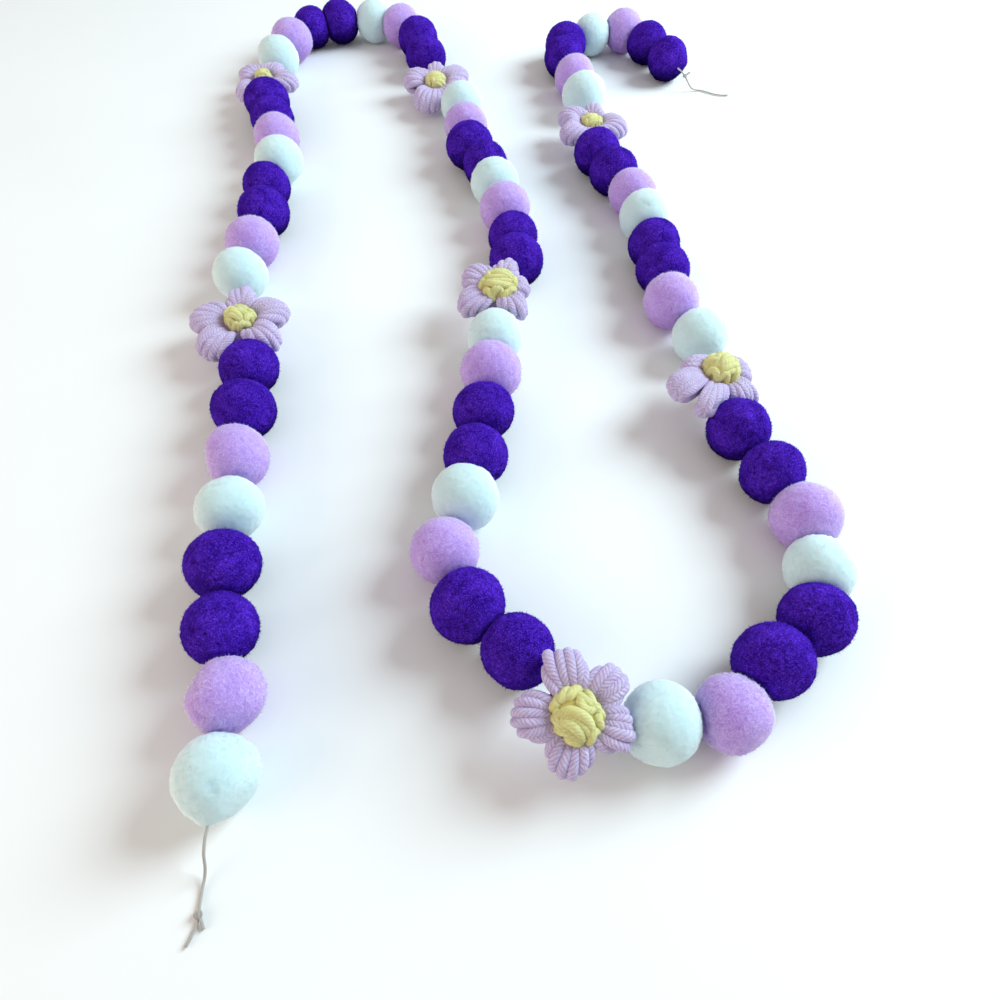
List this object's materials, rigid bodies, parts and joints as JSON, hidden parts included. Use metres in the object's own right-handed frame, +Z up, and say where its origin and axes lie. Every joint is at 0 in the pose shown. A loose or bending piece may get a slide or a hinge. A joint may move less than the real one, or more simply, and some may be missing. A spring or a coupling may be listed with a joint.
{
  "type": "pom-pom garland",
  "caption": "Garland of felted pompoms in white, lilac and violet with crocheted flowers between the groups, laid out in long bends on a surface, with a knotted tail of thread at each end.",
  "frame": {"origin": "middle of the garland's footprint, without its thread tails, on the surface on which it lies", "axes": "+Z up from the surface; +Y along the strands, away from the near end; +X to the right when looking along +Y"},
  "size_m": [0.3107, 0.5506, 0.0296],
  "materials": {
    "white_pile": "matte",
    "lilac_pile": "matte",
    "violet_pile": "matte",
    "petal_yarn": "matte",
    "centre_yarn": "matte",
    "thread": "matte"
  },
  "bodies": {
    "root": {"white_01": "white_pile", "white_02": "white_pile", "white_03": "white_pile", "white_04": "white_pile", "white_05": "white_pile", "white_06": "white_pile", "white_07": "white_pile", "white_08": "white_pile", "white_09": "white_pile", "white_10": "white_pile", "white_11": "white_pile", "white_12": "white_pile", "white_13": "white_pile", "white_14": "white_pile", "white_15": "white_pile", "white_16": "white_pile", "lilac_01": "lilac_pile", "lilac_02": "lilac_pile", "lilac_03": "lilac_pile", "lilac_04": "lilac_pile", "lilac_05": "lilac_pile", "lilac_06": "lilac_pile", "lilac_07": "lilac_pile", "lilac_08": "lilac_pile", "lilac_09": "lilac_pile", "lilac_10": "lilac_pile", "lilac_11": "lilac_pile", "lilac_12": "lilac_pile", "lilac_13": "lilac_pile", "lilac_14": "lilac_pile", "lilac_15": "lilac_pile", "lilac_16": "lilac_pile", "violet_pair_01": "violet_pile", "violet_pair_02": "violet_pile", "violet_pair_03": "violet_pile", "violet_pair_04": "violet_pile", "violet_pair_05": "violet_pile", "violet_pair_06": "violet_pile", "violet_pair_07": "violet_pile", "violet_pair_08": "violet_pile", "violet_pair_09": "violet_pile", "violet_pair_10": "violet_pile", "violet_pair_11": "violet_pile", "violet_pair_12": "violet_pile", "violet_pair_13": "violet_pile", "violet_pair_14": "violet_pile", "violet_pair_15": "violet_pile", "violet_pair_16": "violet_pile", "flower_1": "petal_yarn", "flower_2": "petal_yarn", "flower_3": "petal_yarn", "flower_4": "petal_yarn", "flower_5": "petal_yarn", "flower_6": "petal_yarn", "flower_7": "petal_yarn", "tail_start": "thread", "knot_start": "thread", "tail_finish": "thread", "knot_finish": "thread"}
  },
  "joints": []
}
